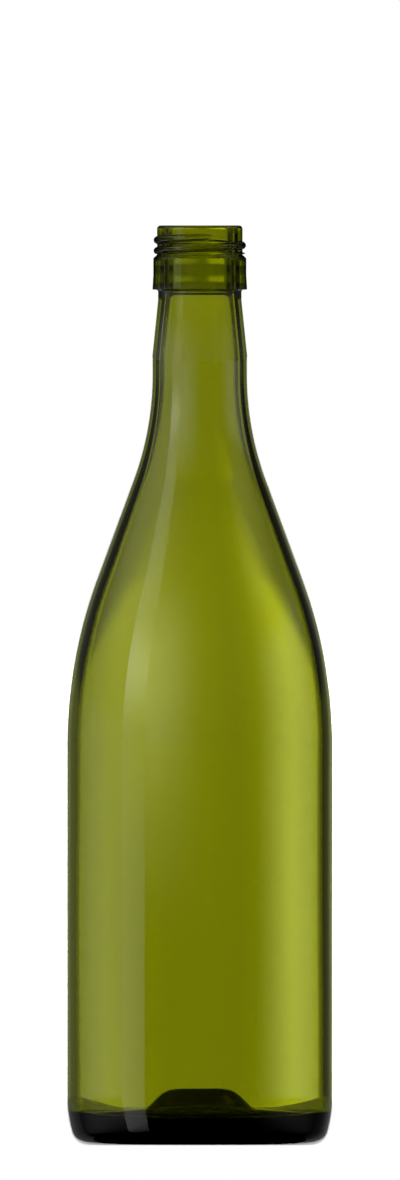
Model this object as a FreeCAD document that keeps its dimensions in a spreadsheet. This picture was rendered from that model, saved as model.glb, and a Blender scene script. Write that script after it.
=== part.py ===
# Burgundy-shaped wine bottle with a screw finish, blown in one piece of olive-green glass.
# The bottle stands upright along +Z, and its origin is at the centre of its foot.
# A blank is turned from the outline of the outside, the bead of the screw thread is swept
# round its finish, and the space for the wine is then cut out as one cavity.
import FreeCAD, Part
import math
import os
import Sketcher
from FreeCAD import Vector

# Driving dimensions: name, value in millimetres or degrees, and what it measures.
SIZES = [
    ("overall_height", 282.0, "foot to sealing rim"),
    ("body_diameter", 81.9, "straight part of the body"),
    ("body_wall", 3.2, "glass thickness of the body"),
    ("neck_wall", 2.9, "glass thickness of the neck and of the slope below it"),
    ("shoulder_radius", 147.0, "rounding from the body into the slope"),
    ("slope_angle", 20.4, "slope between shoulder and neck, from the vertical"),
    ("sweep_radius", 93.3, "hollow sweep from the slope into the neck"),
    ("neck_diameter", 29.07, "straight band at the foot of the neck"),
    ("sweep_drop", 45.5, "rim to the upper end of the hollow sweep"),
    ("band_drop", 40.1, "rim to the top of the straight band"),
    ("throat_diameter", 25.56, "neck just under the ring"),
    ("throat_drop", 23.0, "rim to the top of the neck's taper"),
    ("rim_diameter", 26.2, "outside of the finish between the threads"),
    ("rim_rounding", 1.1, "outer edge of the sealing rim"),
    ("bore_diameter", 19.5, "inside of the finish"),
    ("bore_rounding", 0.5, "inner edge of the sealing rim"),
    ("ring_diameter", 28.5, "ring below the thread"),
    ("ring_drop", 10.0, "rim to the upper edge of the ring's side"),
    ("ring_foot_drop", 19.7, "rim to the underside of the ring"),
    ("ring_shelf", 1.0, "height of the slanted shelf on top of the ring"),
    ("ring_flare", 0.25, "how far the foot of the ring stands out past its side"),
    ("ring_flare_height", 4.4, "height over which the ring flares"),
    ("ring_softening", 0.3, "rounding of the ring's two edges"),
    ("ring_root", 0.7, "hollow rounding between ring and neck"),
    ("thread_pitch", 3.25, "rise of the thread in one turn"),
    ("thread_depth", 1.05, "how far the bead stands out of the finish"),
    ("bead_radius", 1.15, "rounding of the bead"),
    ("thread_drop", 3.5, "rim to the bead's centre at the thread's upper end"),
    ("thread_end_angle", 20.0, "upper end of the thread, round from the front to the right"),
    ("thread_full_turns", 2.0, "whole turns of the thread, before its last part of a turn"),
    ("run_out_turns", 0.12, "part of a turn in which the bead sinks into the glass"),
    ("bead_sink", 0.15, "depth of the bead's two ends under the finish"),
    ("taper_height", 15.9, "foot to where the side starts to draw in"),
    ("taper_radius", 45.0, "rounding of the drawn-in side"),
    ("heel_radius", 5.5, "rounding between the side and the foot"),
    ("stand_width", 2.4, "flat ring that the bottle stands on"),
    ("stand_flank", 1.6, "width of the slope inside that ring"),
    ("stand_rounding", 1.2, "rounding at the foot and the top of that slope"),
    ("base_fall", 13.0, "fall of the base from the push-up outwards, from the horizontal"),
    ("underside_height", 3.9, "foot to the outer edge of the base's underside"),
    ("arch_height", 12.0, "foot to the top of the push-up, underneath"),
    ("arch_radius", 6.5, "flat top of the push-up, underneath"),
    ("arch_shoulder", 6.0, "rounding of the push-up's top, underneath"),
    ("arch_slope", 32.0, "slope of the push-up from the horizontal, underneath"),
    ("arch_root", 8.0, "rounding between push-up and base, underneath"),
    ("trough_height", 7.6, "foot to the lowest part of the inner floor, beside the wall"),
    ("trough_radius", 4.0, "rounding between the inner floor and the wall"),
    ("crown_height", 17.5, "foot to the top of the push-up, inside"),
    ("crown_radius", 7.0, "flat top of the push-up, inside"),
    ("crown_shoulder", 8.0, "rounding of the push-up's top, inside"),
    ("crown_slope", 44.0, "slope of the push-up from the horizontal, inside"),
    ("crown_root", 8.0, "rounding between push-up and floor, inside"),
]
size = {name: value for name, value, meaning in SIZES}

# How finely the thread's path is set out, and how far the cavity's cut runs past the rim.
PATH_POINTS_PER_TURN = 24
CUT_PAST_RIM = 1.0
# How near to a corner an edge is taken to be the one at that corner.
FIND_WITHIN = 0.01

# The sketcher's names for the points of a segment, the origin and the two axes.
START = 1
END = 2
CENTRE = 3
ORIGIN = (-1, 1)
LEVEL = -1
UPRIGHT = -2


def fill_sheet(doc):
    """Put every driving dimension in a sheet, each under its own alias."""
    sheet = doc.addObject("Spreadsheet::Sheet", "sizes")
    for row, (name, value, meaning) in enumerate(SIZES, start=1):
        sheet.set(f"A{row}", name)
        sheet.set(f"B{row}", str(value))
        sheet.set(f"C{row}", meaning)
        sheet.setAlias(f"B{row}", name)
    doc.recompute()


class Outline:
    """A half section in a body's XZ plane, with radius to the right and height upwards.

    It is drawn with numbers at first, and then held by constraints whose values follow
    the sheet: each size is given as a number and as the expression that it is bound to."""

    def __init__(self, body, name):
        self.sketch = body.newObject("Sketcher::SketchObject", name)
        plane = next(item for item in body.Origin.OriginFeatures if item.Role == "XZ_Plane")
        self.sketch.AttachmentSupport = [(plane, "")]
        self.sketch.MapMode = "FlatFace"

    def hold(self, kind, *where):
        """Add a constraint that has no measure, such as Vertical or Tangent."""
        self.sketch.addConstraint(Sketcher.Constraint(kind, *where))

    def bind(self, kind, *where, value, to):
        """Add a measured constraint and bind it to an expression."""
        index = self.sketch.addConstraint(Sketcher.Constraint(kind, *where, value))
        self.sketch.setExpression(f"Constraints[{index}]", to)

    def place(self, segment, end, radius=None, height=None):
        """Hold one end of a segment at a radius, a height or both."""
        corner = self.sketch.getPoint(segment, end)
        if radius:
            self.bind("DistanceX", *ORIGIN, segment, end, value=corner.x, to=radius)
        if height:
            self.bind("DistanceY", *ORIGIN, segment, end, value=corner.y, to=height)

    def line(self, start, end):
        """Draw a straight segment and give its number."""
        return self.sketch.addGeometry(Part.LineSegment(Vector(*start, 0), Vector(*end, 0)))

    def slanted(self, start, end, angle, to):
        """Draw a straight segment held at an angle from the horizontal."""
        segment = self.line(start, end)
        self.bind("Angle", segment, value=math.radians(angle), to=f"({to}) * 1 deg")
        return segment

    def arc(self, centre, radius, first, last, to):
        """Draw an arc anticlockwise between two angles, with its radius bound to to."""
        circle = Part.Circle(Vector(*centre, 0), Vector(0, 0, 1), radius)
        angles = (math.radians(first), math.radians(last))
        segment = self.sketch.addGeometry(Part.ArcOfCircle(circle, *angles))
        self.bind("Radius", segment, value=radius, to=to)
        return segment

    def circle(self, centre, radius, to):
        """Draw a full circle with its radius bound to to."""
        edge = Part.Circle(Vector(*centre, 0), Vector(0, 0, 1), radius)
        segment = self.sketch.addGeometry(edge)
        self.bind("Radius", segment, value=radius, to=to)
        return segment

    def line_on(self, last, end, radius=None, height=None):
        """Draw a line from the end of the last segment to a corner.

        Without a radius to bind to the line is upright, and without a height it is level."""
        corner = self.sketch.getPoint(last, END)
        segment = self.line((corner.x, corner.y), end)
        self.hold("Coincident", last, END, segment, START)
        if not radius:
            self.hold("Vertical", segment)
        if not height:
            self.hold("Horizontal", segment)
        self.place(segment, END, radius, height)
        return segment

    def close(self, first, last):
        """Run level from the last segment to the axis, and down it to the first one."""
        low = self.sketch.getPoint(first, START)
        high = self.sketch.getPoint(last, END)
        top = self.line((high.x, high.y), (0, high.y))
        self.hold("Coincident", last, END, top, START)
        self.hold("Horizontal", top)
        axis = self.line((0, high.y), (low.x, low.y))
        self.hold("Coincident", top, END, axis, START)
        self.hold("Coincident", axis, END, first, START)
        self.hold("PointOnObject", axis, START, UPRIGHT)
        self.hold("PointOnObject", axis, END, UPRIGHT)

    def turn(self, body, kind, name):
        """Turn the outline a whole turn round the axis, as a Revolution or a Groove."""
        feature = body.newObject(f"PartDesign::{kind}", name)
        feature.Profile = self.sketch
        feature.ReferenceAxis = (self.sketch, ["V_Axis"])
        feature.Angle = 360
        body.Document.recompute()
        if not self.sketch.FullyConstrained:
            raise RuntimeError(f"{self.sketch.Name} is not held on every side")
        return feature


def draw_push_up(outline, kind, end):
    """Draw the push-up and the base that falls away round it, from the axis outwards.

    kind is the name that its sizes start with, and end is the corner (radius, height)
    where the base ends. Gives the first and the last segment."""
    crown = size[f"{kind}_radius"]
    top = size[f"{kind}_height"]
    shoulder = size[f"{kind}_shoulder"]
    root = size[f"{kind}_root"]
    angle = size[f"{kind}_slope"]
    lean = math.radians(angle)
    fall = math.radians(size["base_fall"])
    slope_top = (crown + shoulder * math.sin(lean), top - shoulder * (1 - math.cos(lean)))
    # The corner at which slope and base would meet if there were no rounding between them.
    drop = slope_top[1] - end[1] - (end[0] - slope_top[0]) * math.tan(fall)
    run = drop / (math.tan(lean) - math.tan(fall))
    corner = (slope_top[0] + run, slope_top[1] - run * math.tan(lean))
    back = root * math.tan((lean - fall) / 2)
    slope_foot = (corner[0] - back * math.cos(lean), corner[1] + back * math.sin(lean))
    base_start = (corner[0] + back * math.cos(fall), corner[1] - back * math.sin(fall))
    root_centre = (base_start[0] + root * math.sin(fall), base_start[1] + root * math.cos(fall))

    flat = outline.line((0, top), (crown, top))
    outline.hold("Horizontal", flat)
    outline.place(flat, END, f"sizes.{kind}_radius", f"sizes.{kind}_height")
    over_centre = (crown, top - shoulder)
    over = outline.arc(over_centre, shoulder, 90 - angle, 90, f"sizes.{kind}_shoulder")
    outline.hold("Tangent", flat, END, over, END)
    slope = outline.slanted(slope_top, slope_foot, -angle, f"-sizes.{kind}_slope")
    outline.hold("Tangent", over, START, slope, START)
    root_ends = (270 - angle, 270 - size["base_fall"])
    under = outline.arc(root_centre, root, *root_ends, f"sizes.{kind}_root")
    outline.hold("Tangent", slope, END, under, START)
    base = outline.slanted(base_start, end, -size["base_fall"], "-sizes.base_fall")
    outline.hold("Tangent", under, END, base, START)
    return flat, base


def draw_corner(outline, kind, low, start, wall=None):
    """Draw the rounding at the foot of the side, and the drawn-in side above it.

    kind is heel or trough, low is the height of the rounding's lowest point and start is
    the angle at which it starts. The cavity names its wall, which comes off the radius of
    the drawn-in side. Gives the two arcs and the centre of the rounding."""
    off_wall = f" - sizes.{wall}" if wall else ""
    small = size[f"{kind}_radius"]
    large = size["taper_radius"] - size.get(wall, 0)
    middle = (size["body_diameter"] / 2 - size["taper_radius"], size["taper_height"])
    rise = middle[1] - low - small
    across = math.sqrt((large - small) ** 2 - rise**2)
    lean = math.degrees(math.atan2(rise, across))
    centre = (middle[0] + across, low + small)
    rounding = outline.arc(centre, small, start, 360 - lean, f"sizes.{kind}_radius")
    drawn_in = outline.arc(middle, large, -lean, 0, f"sizes.taper_radius{off_wall}")
    outline.hold("Tangent", rounding, END, drawn_in, START)
    return rounding, drawn_in, centre


def draw_side(outline, foot_height, body_wall=None, neck_wall=None):
    """Draw body, shoulder, slope, hollow sweep and the straight band of the neck.

    The outside and the cavity both take their side from here. The cavity names the two
    walls, which come off the radii. Gives the body's line and the band's line."""
    off_body = f" - sizes.{body_wall}" if body_wall else ""
    off_neck = f" - sizes.{neck_wall}" if neck_wall else ""
    onto_sweep = f" + sizes.{neck_wall}" if neck_wall else ""
    body = size["body_diameter"] / 2 - size.get(body_wall, 0)
    neck = size["neck_diameter"] / 2 - size.get(neck_wall, 0)
    shoulder = size["shoulder_radius"] - size.get(body_wall, 0)
    sweep = size["sweep_radius"] + size.get(neck_wall, 0)
    angle = size["slope_angle"]
    lean = math.radians(angle)
    band_foot = size["overall_height"] - size["sweep_drop"]
    band_top = size["overall_height"] - size["band_drop"]
    slope_top = (neck + sweep * (1 - math.cos(lean)), band_foot - sweep * math.sin(lean))
    slope_foot_radius = body - shoulder * (1 - math.cos(lean))
    slope_rise = (slope_foot_radius - slope_top[0]) / math.tan(lean)
    slope_foot = (slope_foot_radius, slope_top[1] - slope_rise)
    body_top = slope_foot[1] - shoulder * math.sin(lean)

    wall = outline.line((body, foot_height), (body, body_top))
    outline.hold("Vertical", wall)
    outline.place(wall, START, radius=f"sizes.body_diameter / 2{off_body}")
    to_shoulder = f"sizes.shoulder_radius{off_body}"
    rounding = outline.arc((body - shoulder, body_top), shoulder, 0, angle, to_shoulder)
    outline.hold("Tangent", wall, END, rounding, START)
    slope = outline.slanted(slope_foot, slope_top, 90 + angle, "90 + sizes.slope_angle")
    outline.hold("Tangent", rounding, END, slope, START)
    to_sweep = f"sizes.sweep_radius{onto_sweep}"
    hollow = outline.arc((neck + sweep, band_foot), sweep, 180, 180 + angle, to_sweep)
    outline.hold("Tangent", slope, END, hollow, END)
    band = outline.line((neck, band_foot), (neck, band_top))
    outline.hold("Tangent", hollow, START, band, START)
    outline.hold("Vertical", band)
    band_radius = f"sizes.neck_diameter / 2{off_neck}"
    outline.place(band, START, band_radius, "sizes.overall_height - sizes.sweep_drop")
    outline.place(band, END, height="sizes.overall_height - sizes.band_drop")
    return wall, band


def draw_foot(outline):
    """Draw push-up, stand, heel and drawn-in side.

    Gives the first segment, the slope inside the stand and the last segment."""
    heel, drawn_in, heel_centre = draw_corner(outline, "heel", 0, 270)
    foot = heel_centre[0]
    stand = foot - size["stand_width"]
    flank = stand - size["stand_flank"]
    base_edge = (flank, size["underside_height"])
    first, base = draw_push_up(outline, "arch", base_edge)
    outline.place(base, END, height="sizes.underside_height")
    slope = outline.line(base_edge, (stand, 0))
    outline.hold("Coincident", base, END, slope, START)
    ends = (slope, START, slope, END)
    outline.bind("DistanceX", *ends, value=stand - flank, to="sizes.stand_flank")
    outline.hold("PointOnObject", slope, END, LEVEL)
    ground = outline.line((stand, 0), (foot, 0))
    outline.hold("Coincident", slope, END, ground, START)
    outline.hold("Horizontal", ground)
    ends = (ground, START, ground, END)
    outline.bind("DistanceX", *ends, value=foot - stand, to="sizes.stand_width")
    outline.hold("Tangent", ground, END, heel, START)
    return first, slope, drawn_in


def draw_finish(outline, band):
    """Draw the neck's taper, the ring and the lip on top of the straight band."""
    top = size["overall_height"]
    throat = size["throat_diameter"] / 2
    rim = size["rim_diameter"] / 2
    ring = size["ring_diameter"] / 2
    foot_height = top - size["ring_foot_drop"]
    shelf_height = top - size["ring_drop"]
    flare_height = foot_height + size["ring_flare_height"]
    foot_at = "sizes.overall_height - sizes.ring_foot_drop"
    shelf_at = "sizes.overall_height - sizes.ring_drop"
    throat_at = "sizes.overall_height - sizes.throat_drop"
    ring_at = "sizes.ring_diameter / 2"
    rim_at = "sizes.rim_diameter / 2"

    taper_top = (throat, top - size["throat_drop"])
    taper = outline.line_on(band, taper_top, "sizes.throat_diameter / 2", throat_at)
    neck = outline.line_on(taper, (throat, foot_height), height=foot_at)
    ledge_end = (ring + size["ring_flare"], foot_height)
    ledge = outline.line_on(neck, ledge_end, f"{ring_at} + sizes.ring_flare")
    flare_at = f"{foot_at} + sizes.ring_flare_height"
    flare = outline.line_on(ledge, (ring, flare_height), ring_at, flare_at)
    side = outline.line_on(flare, (ring, shelf_height), height=shelf_at)
    shelf_end = (rim, shelf_height + size["ring_shelf"])
    shelf = outline.line_on(side, shelf_end, rim_at, f"{shelf_at} + sizes.ring_shelf")
    return outline.line_on(shelf, (rim, top), height="sizes.overall_height")


def soften(body, name, rounding, corners):
    """Round the circular edges of the body's last feature at corners (radius, height)."""
    base = body.Tip
    found = []
    for number, edge in enumerate(base.Shape.Edges, start=1):
        if not isinstance(edge.Curve, Part.Circle):
            continue
        for radius, height in corners:
            away = abs(edge.Curve.Radius - radius) + abs(edge.Curve.Center.z - height)
            if away < FIND_WITHIN:
                found.append(f"Edge{number}")
    if len(found) < len(corners):
        raise RuntimeError(f"{name}: {len(found)} edges found for {len(corners)} corners")
    fillet = body.newObject("PartDesign::Fillet", name)
    fillet.Base = (base, found)
    fillet.setExpression("Radius", f"sizes.{rounding}")
    body.Document.recompute()


def make_blank(body):
    """Turn the outside of the bottle and soften the edges of its finish and its stand."""
    outline = Outline(body, "outside")
    first, stand_slope, drawn_in = draw_foot(outline)
    wall, band = draw_side(outline, size["taper_height"])
    outline.hold("Tangent", drawn_in, END, wall, START)
    outline.place(wall, START, height="sizes.taper_height")
    outline.close(first, draw_finish(outline, band))
    outline.turn(body, "Revolution", "blank")

    top = size["overall_height"]
    foot = top - size["ring_foot_drop"]
    ring = size["ring_diameter"] / 2
    flank = outline.sketch.getPoint(stand_slope, START)
    stand = outline.sketch.getPoint(stand_slope, END)
    ring_corners = [(ring + size["ring_flare"], foot), (ring, top - size["ring_drop"])]
    soften(body, "rim", "rim_rounding", [(size["rim_diameter"] / 2, top)])
    soften(body, "ring_edges", "ring_softening", ring_corners)
    soften(body, "ring_hollow", "ring_root", [(size["throat_diameter"] / 2, foot)])
    soften(body, "stand", "stand_rounding", [(flank.x, flank.y), (stand.x, stand.y)])


def thread_turns():
    """Count the thread's turns, from the left of the bottle to its end near the front."""
    return size["thread_full_turns"] + (90 + size["thread_end_angle"]) / 360


def thread_centre(turns_up):
    """Place the bead's centre so many turns up from the thread's lower end on the left.

    Towards both ends the centre moves inwards, so that the bead sinks into the glass."""
    to_end = min(turns_up, thread_turns() - turns_up)
    sinking = max(0.0, 1 - to_end / size["run_out_turns"])
    radius = size["rim_diameter"] / 2 - size["bead_radius"] + size["thread_depth"]
    radius -= (size["thread_depth"] + size["bead_sink"]) * sinking**2
    angle = 2 * math.pi * turns_up
    below_end = size["thread_pitch"] * (thread_turns() - turns_up)
    height = size["overall_height"] - size["thread_drop"] - below_end
    return Vector(-radius * math.cos(angle), -radius * math.sin(angle), height)


def make_thread(doc, body):
    """Sweep the round bead of the thread along its rising path round the finish."""
    steps = math.ceil(thread_turns() * PATH_POINTS_PER_TURN)
    curve = Part.BSplineCurve()
    curve.interpolate([thread_centre(thread_turns() * n / steps) for n in range(steps + 1)])
    path = doc.addObject("Part::Feature", "thread_path")
    path.Shape = curve.toShape()

    lower_end = thread_centre(0)
    turns_at = "(sizes.thread_full_turns + (90 + sizes.thread_end_angle) / 360)"
    drop_at = f"sizes.thread_drop + sizes.thread_pitch * {turns_at}"
    section = Outline(body, "bead")
    centre = (lower_end.x, lower_end.z)
    bead = section.circle(centre, size["bead_radius"], "sizes.bead_radius")
    radius_at = "sizes.rim_diameter / 2 - sizes.bead_radius - sizes.bead_sink"
    section.place(bead, CENTRE, f"-({radius_at})", f"sizes.overall_height - ({drop_at})")
    thread = body.newObject("PartDesign::AdditivePipe", "thread")
    thread.Profile = section.sketch
    thread.Spine = (path, ["Edge1"])
    doc.recompute()


def make_cavity(body):
    """Cut out the space for the wine, from its floor up through neck and bore."""
    bore = size["bore_diameter"] / 2
    top = size["overall_height"]
    fall = math.radians(size["base_fall"])
    trough = size["trough_radius"]
    low = size["trough_height"]
    bore_at = "sizes.bore_diameter / 2"
    foot_at = "sizes.overall_height - sizes.ring_foot_drop"
    past_rim = f"sizes.overall_height + {CUT_PAST_RIM}"

    outline = Outline(body, "inside")
    start = 270 - size["base_fall"]
    turn_up, drawn_in, centre = draw_corner(outline, "trough", low, start, "body_wall")
    outline.place(turn_up, CENTRE, height="sizes.trough_height + sizes.trough_radius")
    floor_end = (centre[0] - trough * math.sin(fall), centre[1] - trough * math.cos(fall))
    first, floor = draw_push_up(outline, "crown", floor_end)
    outline.hold("Tangent", floor, END, turn_up, START)
    wall, band = draw_side(outline, size["taper_height"], "body_wall", "neck_wall")
    outline.hold("Tangent", drawn_in, END, wall, START)
    outline.place(wall, START, height="sizes.taper_height")
    neck_top = (bore, top - size["ring_foot_drop"])
    neck = outline.line_on(band, neck_top, bore_at, foot_at)
    bore_line = outline.line_on(neck, (bore, top + CUT_PAST_RIM), height=past_rim)
    outline.close(first, bore_line)
    outline.turn(body, "Groove", "cavity")
    soften(body, "mouth", "bore_rounding", [(bore, top)])


def check(doc, body, blank_volume):
    """Stop unless every object of the document is sound and the bottle is one solid."""
    for item in doc.Objects:
        if "Invalid" in item.State or "Error" in item.State:
            raise RuntimeError(f"{item.Name} failed: {item.State}")
    shape = body.Shape
    if shape.isNull() or not shape.isValid() or len(shape.Solids) != 1:
        raise RuntimeError("the bottle is not one sound solid")
    if shape.Volume > blank_volume / 2:
        raise RuntimeError("the cavity was not cut")


def main():
    """Build the bottle, check it and write it out."""
    doc = FreeCAD.newDocument("wine_bottle")
    fill_sheet(doc)
    body = doc.addObject("PartDesign::Body", "bottle")
    body.Label = "bottle"
    make_blank(body)
    make_thread(doc, body)
    blank_volume = body.Shape.Volume
    make_cavity(body)
    doc.recompute()
    check(doc, body, blank_volume)
    os.makedirs("parts", exist_ok=True)
    body.Shape.exportStep(f"parts/{body.Label}.step")
    glass = body.Shape.Volume / 1000
    held = (blank_volume - body.Shape.Volume) / 1000
    print(f"glass {glass:.1f} cm3, space inside {held:.1f} cm3")


main()
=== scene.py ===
# %% [markdown]
# # An empty wine bottle in olive-green glass
# This lesson dresses a burgundy-shaped wine bottle: long sloping shoulders, a screw finish
# with a ring below it, and a push-up in the foot. The real one is blown in one piece, and
# nearly everything that the eye sees in it is light that has passed through its wall. So
# the lesson has three parts: an exact skin for the glass, a glass that colours light by
# how far it travels, and a small studio for it to bend and mirror.

# %% Load the frame
import math
import bpy
import numpy
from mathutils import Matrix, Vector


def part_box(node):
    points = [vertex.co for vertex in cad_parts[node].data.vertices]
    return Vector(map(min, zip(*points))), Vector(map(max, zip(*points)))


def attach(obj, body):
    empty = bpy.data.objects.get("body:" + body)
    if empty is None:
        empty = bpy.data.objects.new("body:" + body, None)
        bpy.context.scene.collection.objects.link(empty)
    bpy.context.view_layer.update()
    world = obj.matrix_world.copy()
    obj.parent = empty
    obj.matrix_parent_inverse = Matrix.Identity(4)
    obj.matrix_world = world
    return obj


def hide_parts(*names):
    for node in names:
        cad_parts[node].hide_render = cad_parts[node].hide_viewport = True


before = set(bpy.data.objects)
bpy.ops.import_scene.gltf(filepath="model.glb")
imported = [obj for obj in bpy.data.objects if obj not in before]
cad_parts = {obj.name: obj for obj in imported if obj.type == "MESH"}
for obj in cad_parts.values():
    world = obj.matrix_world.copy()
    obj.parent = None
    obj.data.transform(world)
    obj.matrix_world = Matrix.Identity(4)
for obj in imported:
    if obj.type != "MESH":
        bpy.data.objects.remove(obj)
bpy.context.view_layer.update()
glass_low, glass_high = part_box("bottle")
height = glass_high.z
print(f"the frame's bottle is {1000 * height:.1f} mm tall")

# %% [markdown]
# ## The outline of the glass
# A bottle is a turned shape, so its skin could be a turned curve with a Screw modifier, or
# rows of points worked out in code. Rows are used here: the thread is not a turned shape,
# and with rows it can swell out of the finish with no cutting or joining. Every row is a
# radius and a height in millimetres, measured as on a lathe drawing. Straight runs are
# given a row every few millimetres, so that the wall can be made a little uneven later.

# %% Arcs and straight runs
MM = 0.001


def arc(centre, radius, first, last, rows=10):
    """Points on an arc from one angle to another, in degrees from the level."""
    angles = numpy.radians(numpy.linspace(first, last, rows + 1))
    return [(centre[0] + radius * math.cos(a), centre[1] + radius * math.sin(a)) for a in angles]


def runs(points, longest=3.0):
    """The same line with rows added to its straight runs, and doubled points left out."""
    filled = [points[0]]
    for (r0, z0), (r1, z1) in zip(points, points[1:]):
        length = math.hypot(r1 - r0, z1 - z0)
        pieces = math.ceil(length / longest) if length > 0.001 else 0
        filled += [(r0 + (r1 - r0) * n / pieces, z0 + (z1 - z0) * n / pieces)
                   for n in range(1, pieces + 1)]
    return filled


# %% [markdown]
# ### The side of the bottle
# Body, shoulder, slope, hollow sweep and the straight band of the neck touch without a
# corner, so each arc starts at the angle where the last one ended. The inside of the wall
# runs beside the outside, so one function draws both: the wall's thickness comes off the
# radii of the arcs that bulge, and is added to the radius of the one that is hollow.

# %% Draw the side
SLOPE = 20.4
BODY_RADIUS, BODY_WALL = 40.95, 3.2
NECK_RADIUS, NECK_WALL = 14.535, 2.9
TAPER_TOP, TAPER_RADIUS = 15.9, 45.0
SWEEP_TOP, BAND_TOP = 236.5, 241.9


def side(body_wall=0.0, neck_wall=0.0):
    """Rows from the top of the drawn-in foot to the top of the neck's straight band."""
    body, neck = BODY_RADIUS - body_wall, NECK_RADIUS - neck_wall
    shoulder, sweep = 147.0 - body_wall, 93.3 + neck_wall
    lean = math.radians(SLOPE)
    slope_top = (neck + sweep * (1 - math.cos(lean)), SWEEP_TOP - sweep * math.sin(lean))
    slope_foot_radius = body - shoulder * (1 - math.cos(lean))
    slope_foot = slope_top[1] - (slope_foot_radius - slope_top[0]) / math.tan(lean)
    body_top = slope_foot - shoulder * math.sin(lean)
    rows = arc((body - shoulder, body_top), shoulder, 0, SLOPE, 30)
    rows += arc((neck + sweep, SWEEP_TOP), sweep, 180 + SLOPE, 180, 24)
    return [(body, TAPER_TOP)] + rows + [(neck, BAND_TOP)]


print(f"the outside of the shoulder starts at {side()[1][1]:.1f} mm")

# %% [markdown]
# ### The foot and the push-up
# The foot of a wine bottle is domed inwards. The dome stiffens it, and leaves a narrow
# ring of glass to stand on. Underneath and inside it has the same make-up: a flat top, a
# rounded shoulder, a slope, a rounded root and a base that falls away outwards.

# %% Draw the push-up and the corners of the foot
BASE_FALL = 13.0


def push_up(top, flat, shoulder, slope, root, end):
    """Rows from the axis, over the push-up, to the corner where the base ends."""
    lean, fall = math.radians(slope), math.radians(BASE_FALL)
    slope_top = (flat + shoulder * math.sin(lean), top - shoulder * (1 - math.cos(lean)))
    drop = slope_top[1] - end[1] - (end[0] - slope_top[0]) * math.tan(fall)
    run = drop / (math.tan(lean) - math.tan(fall))
    corner = (slope_top[0] + run, slope_top[1] - run * math.tan(lean))
    back = root * math.tan((lean - fall) / 2)
    base_start = (corner[0] + back * math.cos(fall), corner[1] - back * math.sin(fall))
    root_centre = (base_start[0] + root * math.sin(fall), base_start[1] + root * math.cos(fall))
    rows = [(0.0, top)] + arc((flat, top - shoulder), shoulder, 90, 90 - slope)
    return rows + arc(root_centre, root, 270 - slope, 270 - BASE_FALL) + [end]


def foot_corner(low, small, wall=0.0):
    """The centre of the rounding at the foot of the side, and the lean where it ends."""
    rise = TAPER_TOP - low - small
    across = math.sqrt((TAPER_RADIUS - wall - small) ** 2 - rise**2)
    return (BODY_RADIUS - TAPER_RADIUS + across, low + small), math.degrees(math.atan2(rise, across))


heel_centre, heel_lean = foot_corner(0.0, 5.5)
stand_edge = heel_centre[0] - 2.4
flank_edge = stand_edge - 1.6
under = push_up(12.0, 6.5, 6.0, 32.0, 8.0, (flank_edge, 3.9))
stand_ring = [(flank_edge + 0.5, 3.2), (flank_edge + 1.2, 0.9)]
stand_ring += arc((stand_edge + 0.6, 1.0), 1.0, 215, 270, 6)
heel = arc(heel_centre, 5.5, 270, 360 - heel_lean, 14)
taper_centre = (BODY_RADIUS - TAPER_RADIUS, TAPER_TOP)
outer_foot = under + stand_ring + heel + arc(taper_centre, TAPER_RADIUS, -heel_lean, 0, 16)

trough_centre, trough_lean = foot_corner(7.6, 4.0, BODY_WALL)
floor_end = (trough_centre[0] - 4.0 * math.sin(math.radians(BASE_FALL)),
             trough_centre[1] - 4.0 * math.cos(math.radians(BASE_FALL)))
floor = push_up(17.5, 7.0, 8.0, 44.0, 8.0, floor_end)
trough = arc(trough_centre, 4.0, 270 - BASE_FALL, 360 - trough_lean, 12)
inner_foot = floor + trough + arc(taper_centre, TAPER_RADIUS - BODY_WALL, -trough_lean, 0, 10)
print(f"the bottle stands on a ring {2 * heel_centre[0]:.1f} mm across")

# %% [markdown]
# ### The finish
# Glassmakers call the mouth of a bottle its finish, because it used to be made last. Here
# it has a neck that narrows a little, a ring with a flared foot, a slanted shelf on top of
# the ring, and the lip that carries the thread. Each edge is rounded by a few close rows,
# since molten glass never keeps a sharp corner, and a rounding is what catches the light.

# %% Draw the finish
RIM_RADIUS, BORE_RADIUS, RING_RADIUS = 13.1, 9.75, 14.25
THROAT_RADIUS, RING_FOOT, RING_TOP = 12.78, 262.3, 272.0
top = 1000 * height
finish = [(THROAT_RADIUS, top - 23.0), (THROAT_RADIUS, RING_FOOT - 0.7)]
finish += arc((THROAT_RADIUS + 0.7, RING_FOOT - 0.7), 0.7, 180, 90, 8)
flare = RING_RADIUS + 0.25
finish += arc((flare - 0.3, RING_FOOT + 0.3), 0.3, 270, 360, 6)
finish += [(RING_RADIUS, RING_FOOT + 4.4), (RING_RADIUS, RING_TOP - 0.15)]
finish += [(RING_RADIUS - 0.06, RING_TOP - 0.02), (RING_RADIUS - 0.2, RING_TOP + 0.16)]
finish += [(RIM_RADIUS + 0.06, RING_TOP + 0.94), (RIM_RADIUS, RING_TOP + 1.06)]
lip = arc((RIM_RADIUS - 1.1, top - 1.1), 1.1, 0, 90, 10)
mouth = arc((BORE_RADIUS + 0.5, top - 0.5), 0.5, 90, 180, 8)
outside = runs(outer_foot + side()[1:] + finish)
thread_rows = runs([outside[-1]] + lip[:1], 0.11)[1:]
inside = runs(inner_foot + side(BODY_WALL, NECK_WALL)[1:] + [(BORE_RADIUS, RING_FOOT), mouth[-1]])
print(f"{len(outside) + len(thread_rows) + len(lip)} rows outside, {len(inside)} rows inside")

# %% [markdown]
# ### The thread
# The thread is a rounded bead that winds twice round the lip and melts into it at both
# ends. It could be a separate tube joined on with a Boolean modifier, but a join leaves
# long thin triangles that show in glass. Here the rows of the lip simply move outwards
# wherever the bead passes, and a soft blend fills the corner where bead and lip meet.

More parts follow.
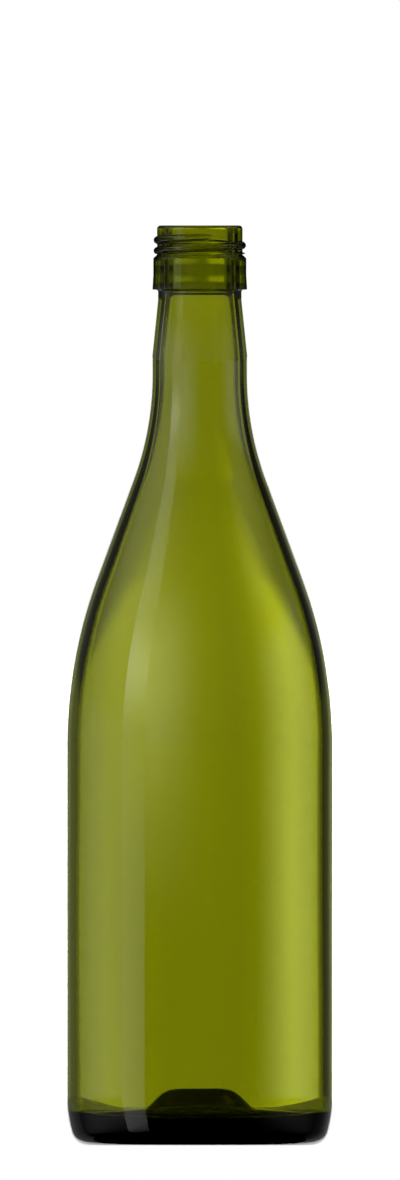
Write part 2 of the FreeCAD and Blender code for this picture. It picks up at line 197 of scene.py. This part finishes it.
# %% The reach of the thread
THREAD_TOP, PITCH, TURNS, BEAD, DEPTH = top - 3.5, 3.25, 2 + 110 / 360, 1.15, 1.05
RUN_OUT, SINK, FIRST_END = 0.12, 0.15, math.radians(180)


def thread_reach(angle, z):
    """How far the lip's surface lies from the axis, at an angle round it and a height."""
    reach = numpy.full_like(angle, RIM_RADIUS)
    for lap in range(-1, 4):
        turn = ((angle - FIRST_END) / (2 * math.pi)) % 1.0 + lap
        inside_ends = (turn >= 0) & (turn <= TURNS)
        from_end = numpy.minimum(turn, TURNS - turn)
        sunk = numpy.clip(1 - from_end / RUN_OUT, 0, 1)
        middle = RIM_RADIUS - BEAD + DEPTH - (DEPTH + SINK) * sunk**2
        off = (z - (THREAD_TOP - PITCH * (TURNS - turn))) / BEAD
        bulge = middle + BEAD * numpy.sqrt(numpy.clip(1 - off**2, 0, None))
        bulge = numpy.where(inside_ends & (numpy.abs(off) < 1), bulge, 0)
        soft = numpy.clip(0.5 + 0.5 * (bulge - reach) / 0.12, 0, 1)
        reach = reach * (1 - soft) + bulge * soft + 0.06 * soft * (1 - soft)
    return reach


print(f"the thread stands {DEPTH} mm proud and climbs {PITCH} mm a turn")

# %% [markdown]
# ### Turning the rows into a skin
# Each row becomes a ring of points, and each pair of rings a band of four-sided faces. The
# two rows that end on the axis close into one point each, so the skin is sealed: glass
# needs that, because light has to know when it enters and when it leaves. Blown glass is
# never quite even inside, so the inner rings swell and shrink by a few hundredths of a
# millimetre, in slow waves. The outside was pressed against the mould and stays true.

# %% Build the skin
ROUND = 192
angles = numpy.arange(ROUND) * 2 * math.pi / ROUND
outer_rows = outside + thread_rows + lip[1:]
inner_rows = mouth[:-1] + inside[::-1]
points, bands = [], []
for number, (radius, z) in enumerate(outer_rows + inner_rows):
    reach = numpy.full(ROUND, radius)
    if RING_TOP + 1.2 < z < top - 1.2 and number < len(outer_rows):
        reach = thread_reach(angles, z)
    if number >= len(outer_rows) and 8 < radius and z < RING_FOOT:
        drift = numpy.sin(angles * 2 + z / 31) + 0.7 * numpy.sin(angles * 3 - z / 23 + 1.7)
        reach = reach + 0.045 * drift * min(1.0, (RING_FOOT - z) / 20)
    if radius == 0.0:
        bands.append([len(points)] * ROUND)
        points.append((0.0, 0.0, z * MM))
    else:
        bands.append(list(range(len(points), len(points) + ROUND)))
        points += [(r * MM * math.cos(a), r * MM * math.sin(a), z * MM) for r, a in zip(reach, angles)]

faces = []
for low, high in zip(bands, bands[1:]):
    for n in range(ROUND):
        after = (n + 1) % ROUND
        corners = [low[n], low[after], high[after], high[n]]
        faces.append(list(dict.fromkeys(corners)))
skin = bpy.data.meshes.new("bottle_glass")
skin.from_pydata(points, [], faces)
skin.validate()
skin.shade_smooth()
bottle_glass = bpy.data.objects.new("bottle_glass", skin)
bpy.context.collection.objects.link(bottle_glass)
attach(bottle_glass, "root")
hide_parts("bottle")
print(f"the skin has {len(skin.vertices)} points and {len(skin.polygons)} faces")

# %% [markdown]
# ## The glass
# Olive green glass holds iron and a little chromium. They colour light by how far it has
# travelled inside the wall, so the thin body looks yellow-green and the thick neck and foot
# look nearly black. A tinted surface can't do that. The colour goes into the volume, with a
# Volume Absorption node, and the surface stays clear: full transmission and no roughness to
# speak of.

# %% Mix the glass
ABSORBS = (0.280, 0.262, 1.0)
olive_glass = bpy.data.materials.new("olive_glass")
olive_glass.use_nodes = True
nodes, links = olive_glass.node_tree.nodes, olive_glass.node_tree.links
surface = nodes["Principled BSDF"]
surface.inputs["Base Color"].default_value = (1, 1, 1, 1)
surface.inputs["Transmission Weight"].default_value = 1.0
surface.inputs["IOR"].default_value = 1.52
surface.inputs["Roughness"].default_value = 0.0
depth_colour = nodes.new("ShaderNodeVolumeAbsorption")
depth_colour.inputs["Color"].default_value = (*(1 - a for a in ABSORBS), 1)
depth_colour.inputs["Density"].default_value = 1000.0
links.new(depth_colour.outputs["Volume"], nodes["Material Output"].inputs["Volume"])
skin.materials.append(olive_glass)
print("per millimetre the glass takes away", ABSORBS, "of red, green and blue")

# %% [markdown]
# Two things keep it from looking like plastic. The surface of blown glass is fire-polished,
# so it is glossy, but it rolls very slightly, and mirrored edges wander with it. And years
# of handling leave a faint haze here and there. Both come from noise textures on the
# object's own coordinates: one nudges the normal, the other the roughness. Their numbers
# are tiny, because in glass a little goes a long way.

# %% Make the surface roll and haze a little
place = nodes.new("ShaderNodeTexCoord")
roll = nodes.new("ShaderNodeTexNoise")
roll.inputs["Scale"].default_value = 28.0
roll.inputs["Detail"].default_value = 1.0
links.new(place.outputs["Object"], roll.inputs["Vector"])
nudge = nodes.new("ShaderNodeBump")
nudge.inputs["Strength"].default_value = 0.35
nudge.inputs["Distance"].default_value = 0.0002
links.new(roll.outputs["Fac"], nudge.inputs["Height"])
links.new(nudge.outputs["Normal"], surface.inputs["Normal"])
haze = nodes.new("ShaderNodeTexNoise")
haze.inputs["Scale"].default_value = 60.0
haze.inputs["Detail"].default_value = 4.0
links.new(place.outputs["Object"], haze.inputs["Vector"])
amount = nodes.new("ShaderNodeMapRange")
amount.inputs["From Min"].default_value = 0.45
amount.inputs["From Max"].default_value = 0.8
amount.inputs["To Min"].default_value = 0.0
amount.inputs["To Max"].default_value = 0.008
links.new(haze.outputs["Fac"], amount.inputs["Value"])
links.new(amount.outputs["Result"], surface.inputs["Roughness"])
print("the glass rolls by up to 0.07 mm and hazes to a roughness of 0.008")

# %% [markdown]
# ## The studio
# Glass is a lens and a mirror, so what stands round it is half of its look. A photographer
# lights a bottle with cards: a white one behind, whose light comes through the glass, and
# tall ones at the sides, whose mirror images draw the long bright strips. In Blender they
# could be area lamps, but a lamp has one brightness all over, and these strips fade. So
# each card is a curved sheet, part of a ring round the bottle, that glows by an amount
# kept at each of its points. Directions run from the camera's side, 0, over the right, 90,
# to the back, 180; the left is negative. Heights are in metres.

# %% Soft edges and slopes of light
def fade(value, dark, bright):
    """0 up to dark, 1 from bright on, and a smooth S between; bright may be the smaller one."""
    share = min(1.0, max(0.0, (value - dark) / (bright - dark)))
    return share * share * (3 - 2 * share)


def hill(value, middle, reach):
    """1 at the middle, sinking softly to both sides."""
    return math.exp(-((value - middle) / reach) ** 2)


def ramp(value, first, last, at_first, at_last):
    """A straight change from one amount at first to another at last."""
    return at_first + (at_last - at_first) * (value - first) / (last - first)


# %% A helper that bends and lights a card
RING = 1.5
BEND_STEP, HEIGHT_STEP, FEWEST_LEVELS = 0.5, 0.02, 25


def card(name, low, high, first, last, glow, seen_in="both", away=RING):
    """A glowing card between two heights and two directions; glow(direction, height) lights it.

    seen_in says whether it shows in mirror images, through the glass or in both, and away
    is how far it stands from the bottle's axis."""
    turns = numpy.linspace(first, last, round(abs(last - first) / BEND_STEP) + 1)
    levels = numpy.linspace(low, high, max(FEWEST_LEVELS, round((high - low) / HEIGHT_STEP) + 1))
    spots = [(a, z) for z in levels for a in turns]
    wide = len(turns)
    sheet = bpy.data.meshes.new(name)
    sheet.from_pydata(
        [(away * math.sin(math.radians(a)), -away * math.cos(math.radians(a)), z) for a, z in spots],
        [],
        [(row * wide + n, row * wide + n + 1, (row + 1) * wide + n + 1, (row + 1) * wide + n)
         for row in range(len(levels) - 1) for n in range(wide - 1)])
    kept_glow = sheet.attributes.new("glow", "FLOAT", "POINT")
    kept_glow.data.foreach_set("value", [glow(a, z) for a, z in spots])
    cloth = bpy.data.materials.new(name)
    cloth.use_nodes = True
    parts, wires = cloth.node_tree.nodes, cloth.node_tree.links
    parts.clear()
    reader = parts.new("ShaderNodeAttribute")
    reader.attribute_name = "glow"
    light = parts.new("ShaderNodeEmission")
    wires.new(reader.outputs["Fac"], light.inputs["Strength"])
    wires.new(light.outputs["Emission"], parts.new("ShaderNodeOutputMaterial").inputs["Surface"])
    sheet.materials.append(cloth)
    return stand(bpy.data.objects.new(name, sheet), seen_in)


def stand(piece, seen_in):
    """Put a piece in the studio, hidden from the camera and from the light on the floor."""
    bpy.context.collection.objects.link(piece)
    piece.visible_camera = piece.visible_diffuse = piece.visible_shadow = False
    piece.visible_glossy = seen_in in ("both", "mirror")
    piece.visible_transmission = seen_in in ("both", "glass")
    return piece


print("the cards stand", RING, "m from the bottle")

# %% [markdown]
# ### What shows through the glass
# The backdrop is a little brighter towards its two ends, where it shines through the sides
# of the body, and only up to the shoulder. A weak lamp behind it leaves a soft patch. Past
# its ends come greys, which the glass gathers into the dark lines down its two sides, and
# above it hangs a nearly black header. The push-up mirrors that header, so the foot of the
# bottle turns dark.

# %% Hang the backdrop
BACK_TOP, CARD_TOP, UNDER = 0.45, 2.6, -0.9
BACK_RIGHT, BACK_LEFT, GREY_END = 163.5, 196.5, 157


def backdrop_light(direction, height):
    """A plain sheet, brighter towards its ends, with the soft patch of the lamp behind it."""
    plain = 1.05 - 0.12 * fade(height, 0.18, 0.22)
    right_end = 2.2 * fade(direction, 178.7, 173.6) + 0.6 * fade(direction, 173.5, 165)
    left_end = 1.0 * fade(direction, 180.6, 186.3) + 0.85 * fade(direction, 188, 199)
    as_high_as_the_shoulder = 0.05 + 0.95 * fade(height, 0.222, 0.18)
    patch_reach = 0.045 if height < 0.14 else 0.033
    patch = 0.6 * hill(direction, 182.1, 2.0) * hill(height, 0.14, patch_reach)
    return plain + (right_end + left_end) * as_high_as_the_shoulder + patch


def end_share(height):
    """The backdrop's turned-back ends are weaker above the shoulder."""
    return 1 - 0.4 * fade(height, 0.185, 0.225)


def grey_share(height):
    """The greys past the ends are nearly black above the shoulder."""
    return 1 - 0.93 * fade(height, 0.185, 0.26)


def end_right(direction, height):
    return ramp(direction, GREY_END, BACK_RIGHT, 0.85, 1.85) * end_share(height)


def end_left(direction, height):
    return ramp(direction, -BACK_RIGHT, -GREY_END, 2.3, 0.95) * end_share(height)


def grey_right(direction, height):
    return ramp(direction, 135, GREY_END, 0.2, 0.43) * grey_share(height)


def grey_left(direction, height):
    return ramp(direction, -GREY_END, -135, 0.88, 0.6) * grey_share(height)


card("backdrop", 0.0, BACK_TOP, BACK_RIGHT, BACK_LEFT, backdrop_light)
card("backdrop_end_right", 0.0, BACK_TOP, GREY_END, BACK_RIGHT, end_right, "glass")
card("backdrop_end_left", 0.0, BACK_TOP, -BACK_RIGHT, -GREY_END, end_left, "glass")
card("grey_right", 0.0, BACK_TOP, 135, GREY_END, grey_right, "glass")
card("grey_left", 0.0, BACK_TOP, -GREY_END, -135, grey_left, "glass")
card("header", BACK_TOP, CARD_TOP, 135, 225, lambda direction, height: 0.03 + 0.03 * hill(direction, 180, 30))

# %% [markdown]
# ### What shows in the mirror
# On the left stand a broad soft panel and a harder strip in front of it, on the right one
# soft panel. The camera's side is black, with a soft glow high up on its left, and the gaps
# beside the backdrop are dim. All of this reaches down past the floor, which mirror images
# don't see. The camera's side is black only to them, which is one of Blender's liberties:
# light that comes through the glass from there passes, and the bottle stays clear from
# behind.

# %% Stand the panels
def foot_light(height, share_of_full):
    """How much of a panel's light is left below the floor: part of it fades just under the floor, the rest
    lower down.
    """
    return (1 - share_of_full) * fade(height, -0.1, 0.0) + share_of_full * fade(height, -0.75, -0.3)


def broad_light(direction, height):
    up = 1 - 0.3 * fade(height, 0.2, 0.35) + 0.2 * fade(height, 0.4, 0.9) - 0.55 * fade(height, 1.5, 2.6)
    return 0.72 * fade(direction, -140, -93) * up * foot_light(height, 0.3)


def strip_light(direction, height):
    up = 1 + 1.6 * hill(height, 0.57, 0.22) + 0.6 * fade(height, 0.1, 0.8) - fade(height, 1.5, 2.6)
    return ramp(direction, -70, -48, 0.95, 0.66) * up * fade(height, -0.85, -0.5)


def right_light(direction, height):
    up = 1 - 0.7 * fade(height, 0.58, 0.84) + 0.4 * fade(height, 0.85, 1.5) - 0.4 * fade(height, 1.5, 2.6)
    sides = fade(direction, 47, 84) * fade(direction, 133, 92)
    return (0.02 + 0.73 * sides) * up * foot_light(height, 0.15)


def front_light(direction, height):
    up = fade(height, 0.063, 0.155) * (0.75 + 0.25 * fade(height, 0.15, 0.5)) * fade(height, 1.65, 0.55)
    return (0.03 + 1.25 * fade(direction, 8, -48)) * up


def dim_right(direction, height):
    return 0.03 + 0.2 * fade(direction, 132, 168)


def dim_left(direction, height):
    return ramp(direction, -BACK_RIGHT, -130, 0.15, 0.07)


card("mirror_right", UNDER, CARD_TOP, 125, BACK_RIGHT, dim_right, "mirror")
card("mirror_left", UNDER, CARD_TOP, -BACK_RIGHT, -130, dim_left, "mirror")
card("broad_panel", UNDER, CARD_TOP, -130, -70, broad_light)
card("strip_panel", UNDER, CARD_TOP, -70, -48, strip_light)
card("right_panel", UNDER, CARD_TOP, 50, 125, right_light)
card("front_card", UNDER, CARD_TOP, -48, 50, front_light, "mirror")
print("six cards stand round the camera's side and both flanks")

# %% [markdown]
# The lower shoulder needs the panels bright at a height where the neck and the finish, which
# stand upright, would mirror them too strongly. So a dark collar hangs close round neck and
# finish, seen only by mirror images. It keeps a soft glow at its foot, and a narrow image of
# the strip all the way up.

# %% Hang the collar
COLLAR_FOOT, COLLAR_TOP, COLLAR_AWAY = 0.242, 0.3, 0.06
STRIP_FROM, STRIP_TO = -60, -42


def collar_light(direction, height):
    left = 0.65 * fade(direction, -130, -92) * fade(direction, 10, -48)
    right = 0.27 * hill(direction, 72, 30)
    in_strip = STRIP_FROM <= direction <= STRIP_TO
    soft = (0.1 + left + right + 0.4 * in_strip) * (0.1 + 0.9 * fade(height, 0.268, 0.25))
    return soft + 0.35 * in_strip * (height > 0.262)


card("collar", COLLAR_FOOT, COLLAR_TOP, -180, 180, collar_light, "mirror", COLLAR_AWAY)
print(f"the collar hangs {1000 * COLLAR_AWAY:.0f} mm from the axis")

# %% [markdown]
# ### Lid, mat and floor
# A dark lid closes the ring above. The floor is plain and pale, but mirror images don't see
# it: the panels reach down past it, as they would beside a bottle on a stand, and a dark
# mat closes the ring below. So the rounded foot mirrors the panels and not the floor.

# %% Lay the flat pieces
def flat_piece(name, radius, height, colour):
    """A level round piece, painted in one grey."""
    edge = [(radius * math.cos(a), radius * math.sin(a), height) for a in numpy.radians(range(0, 360, 6))]
    sheet = bpy.data.meshes.new(name)
    sheet.from_pydata(edge, [], [tuple(range(len(edge)))])
    paint = bpy.data.materials.new(name)
    paint.use_nodes = True
    skin_of_paint = paint.node_tree.nodes["Principled BSDF"]
    skin_of_paint.inputs["Base Color"].default_value = (colour, colour, colour, 1)
    skin_of_paint.inputs["Roughness"].default_value = 1.0
    skin_of_paint.inputs["Specular IOR Level"].default_value = 0.0
    sheet.materials.append(paint)
    return bpy.data.objects.new(name, sheet)


FLOOR_RADIUS, FLOOR_GREY = 6.0, 0.8
studio_floor = flat_piece("studio_floor", FLOOR_RADIUS, 0.0, FLOOR_GREY)
bpy.context.collection.objects.link(studio_floor)
studio_floor.visible_glossy = False
stand(flat_piece("mat_in_mirror", RING + 0.1, UNDER, 0.0), "mirror")
stand(flat_piece("lid", RING + 0.1, CARD_TOP, 0.0), "both")
print("the floor is a disc", 2 * FLOOR_RADIUS, "m across")

# %% [markdown]
# ### The light of the room
# The world is white, at a strength of one, wherever the camera, a mirror image or light
# through the glass meets it. To matt things such as the floor it is a soft, even light from
# all round, a little weaker, so the pale floor keeps its tone and a soft shadow.

# %% Light the room
room = bpy.data.worlds.new("room")
bpy.context.scene.world = room
room.use_nodes = True
nodes, links = room.node_tree.nodes, room.node_tree.links
nodes.clear()
ray = nodes.new("ShaderNodeLightPath")
shows = nodes.new("ShaderNodeMath")
shows.operation = "ADD"
shows.use_clamp = True
links.new(ray.outputs["Is Glossy Ray"], shows.inputs[0])
links.new(ray.outputs["Is Transmission Ray"], shows.inputs[1])
shows_or_camera = nodes.new("ShaderNodeMath")
shows_or_camera.operation = "MAXIMUM"
links.new(shows.outputs[0], shows_or_camera.inputs[0])
links.new(ray.outputs["Is Camera Ray"], shows_or_camera.inputs[1])
strength = nodes.new("ShaderNodeMapRange")
strength.inputs["To Min"].default_value = 0.9
strength.inputs["To Max"].default_value = 1.0
links.new(shows_or_camera.outputs[0], strength.inputs["Value"])
sky = nodes.new("ShaderNodeBackground")
sky.inputs["Color"].default_value = (1, 1, 1, 1)
links.new(strength.outputs["Result"], sky.inputs["Strength"])
links.new(sky.outputs["Background"], nodes.new("ShaderNodeOutputWorld").inputs["Surface"])
print("the room is lit")

# %% [markdown]
# ### The camera
# The rim and the foot of the bottle look like straight level lines, so the camera stands
# level with it and very far away. An orthographic camera does the same from close by. Its
# frame is taller than the bottle, with more room above than below.

# %% Set up the camera
FRAME_HEIGHT = 1.28266 * height
EYE_LEVEL, EYE_ASIDE, EYE_AWAY = 0.6037 * height, 0.00006, 1.3
eye = bpy.data.cameras.new("eye")
eye.type = "ORTHO"
eye.ortho_scale = FRAME_HEIGHT
eye.clip_end = 20.0
camera = bpy.data.objects.new("camera", eye)
camera.location = (EYE_ASIDE, -EYE_AWAY, EYE_LEVEL)
camera.rotation_euler = (math.radians(90), 0, 0)
bpy.context.collection.objects.link(camera)
bpy.context.scene.camera = camera
bpy.context.scene.view_settings.view_transform = "Standard"
print(f"the frame is {1000 * FRAME_HEIGHT:.0f} mm high")
